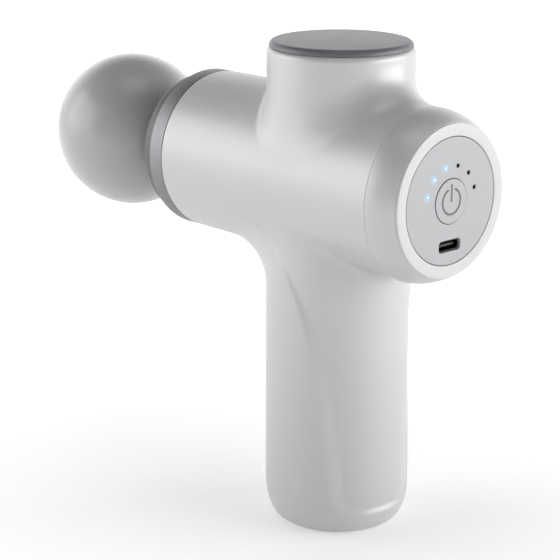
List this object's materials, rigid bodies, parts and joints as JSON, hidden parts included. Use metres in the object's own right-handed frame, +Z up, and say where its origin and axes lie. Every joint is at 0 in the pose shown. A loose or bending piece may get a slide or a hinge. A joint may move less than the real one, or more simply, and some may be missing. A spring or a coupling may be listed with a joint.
{
  "type": "massage gun",
  "caption": "Handheld percussion massager: cylindrical barrel on a round handle, ball head driven in and out, round rear control panel.",
  "frame": {"origin": "centre of the flat base under the handle, on the handle's axis", "axes": "+Z up along the handle, -X along the barrel towards the ball head, +X towards the control panel, +Y across"},
  "size_m": [0.1692, 0.0522, 0.1507],
  "materials": {
    "shell_plastic": "satin",
    "ring_metal": "satin",
    "nose_plastic": "satin",
    "cap_plastic": "satin",
    "panel_plastic": "satin",
    "bezel_plastic": "satin",
    "icon_inlay": "matte",
    "led_lit": "gloss",
    "led_dark": "gloss",
    "ball_foam": "matte",
    "stem_plastic": "satin",
    "seal_rubber": "matte",
    "frame_plastic": "matte",
    "bush_plastic": "satin",
    "piston_metal": "satin",
    "turned_steel": "satin",
    "port_metal": "satin",
    "screw_steel": "satin",
    "weight_brass": "satin",
    "motor_aluminium": "satin",
    "lamination_steel": "matte",
    "winding_copper": "gloss",
    "magnet": "satin",
    "cell_wrap": "satin",
    "nickel": "gloss",
    "board": "satin",
    "chip_black": "matte",
    "connector_white": "satin",
    "lead_red": "satin",
    "lead_yellow": "satin",
    "cell_foam": "matte"
  },
  "bodies": {
    "housing": {"battery_board": "board", "battery_cells": "cell_wrap", "battery_foam": "cell_foam", "battery_leads": "lead_red", "board_chips": "chip_black", "board_connectors": "connector_white", "board_screws": "screw_steel", "cell_tabs": "nickel", "control_board": "board", "control_panel": "panel_plastic", "cover_screws": "screw_steel", "drive_frame": "frame_plastic", "frame_grommets": "seal_rubber", "frame_screws": "screw_steel", "front_nose": "nose_plastic", "front_ring": "ring_metal", "led_chips": "connector_white", "led_lens_1": "led_lit", "led_lens_2": "led_lit", "led_lens_3": "led_lit", "led_lens_4": "led_dark", "led_lens_5": "led_dark", "led_lens_6": "led_dark", "lower_cell_holder": "frame_plastic", "main_housing": "shell_plastic", "motor_base": "motor_aluminium", "motor_bearings": "turned_steel", "motor_leads": "lead_yellow", "motor_plate": "motor_aluminium", "motor_screws": "screw_steel", "nose_screws": "screw_steel", "panel_bezel": "bezel_plastic", "piston_bush": "bush_plastic", "plate_screws": "screw_steel", "rear_cover": "shell_plastic", "stator_coils": "winding_copper", "stator_core": "lamination_steel", "tact_switch": "turned_steel", "top_cap": "cap_plastic", "upper_cell_holder": "frame_plastic", "usb_shell": "port_metal", "usb_tongue": "chip_black", "wiper_seal": "seal_rubber"},
    "rotor": {"motor_shaft": "turned_steel", "rotor_bell": "motor_aluminium", "rotor_magnets": "magnet", "crank_web": "turned_steel", "crank_pin": "turned_steel", "pin_clip": "screw_steel", "counterweight": "weight_brass"},
    "slide_block": {"slide_block": "weight_brass"},
    "crank_key": {"crank_key": "turned_steel"},
    "piston": {"yoke": "turned_steel", "piston_rod": "piston_metal"},
    "head_seal": {"head_oring": "seal_rubber"},
    "head": {"head_stem": "stem_plastic", "ball_foam": "ball_foam"},
    "button": {"power_button": "panel_plastic", "power_icon": "icon_inlay", "switch_plunger": "chip_black"}
  },
  "joints": [
    {"name": "crank_spin", "type": "hinge", "parent": "housing", "child": "rotor", "pos_m": [0, 0, 0.109], "axis": [0, 0, 1], "continuous": true},
    {"name": "block_turn", "type": "hinge", "parent": "rotor", "child": "slide_block", "pos_m": [0.004, 0, 0.109], "axis": [0, 0, 1], "continuous": true},
    {"name": "key_turn", "type": "hinge", "parent": "rotor", "child": "crank_key", "pos_m": [0.002, 0, 0.109], "axis": [0, 0, 1], "continuous": true},
    {"name": "piston_carry", "type": "hinge", "parent": "crank_key", "child": "piston", "pos_m": [0.004, 0, 0.109], "axis": [0, 0, 1], "continuous": true},
    {"name": "head_pull", "type": "slide", "parent": "piston", "child": "head_seal", "axis": [-1, 0, 0], "range_m": [0, 0.025]},
    {"name": "head_twist", "type": "hinge", "parent": "head_seal", "child": "head", "pos_m": [-0.0986, 0, 0.109], "axis": [1, 0, 0], "continuous": true},
    {"name": "button_press", "type": "slide", "parent": "housing", "child": "button", "axis": [-1, 0, 0], "range_m": [0, 0.0004], "stiffness_N_per_m": 4000}
  ],
  "couplings": [
    {"joint": "block_turn", "follows": "crank_spin", "ratio": -1},
    {"joint": "key_turn", "follows": "crank_spin", "ratio": -2},
    {"joint": "piston_carry", "follows": "crank_spin", "ratio": 1}
  ]
}
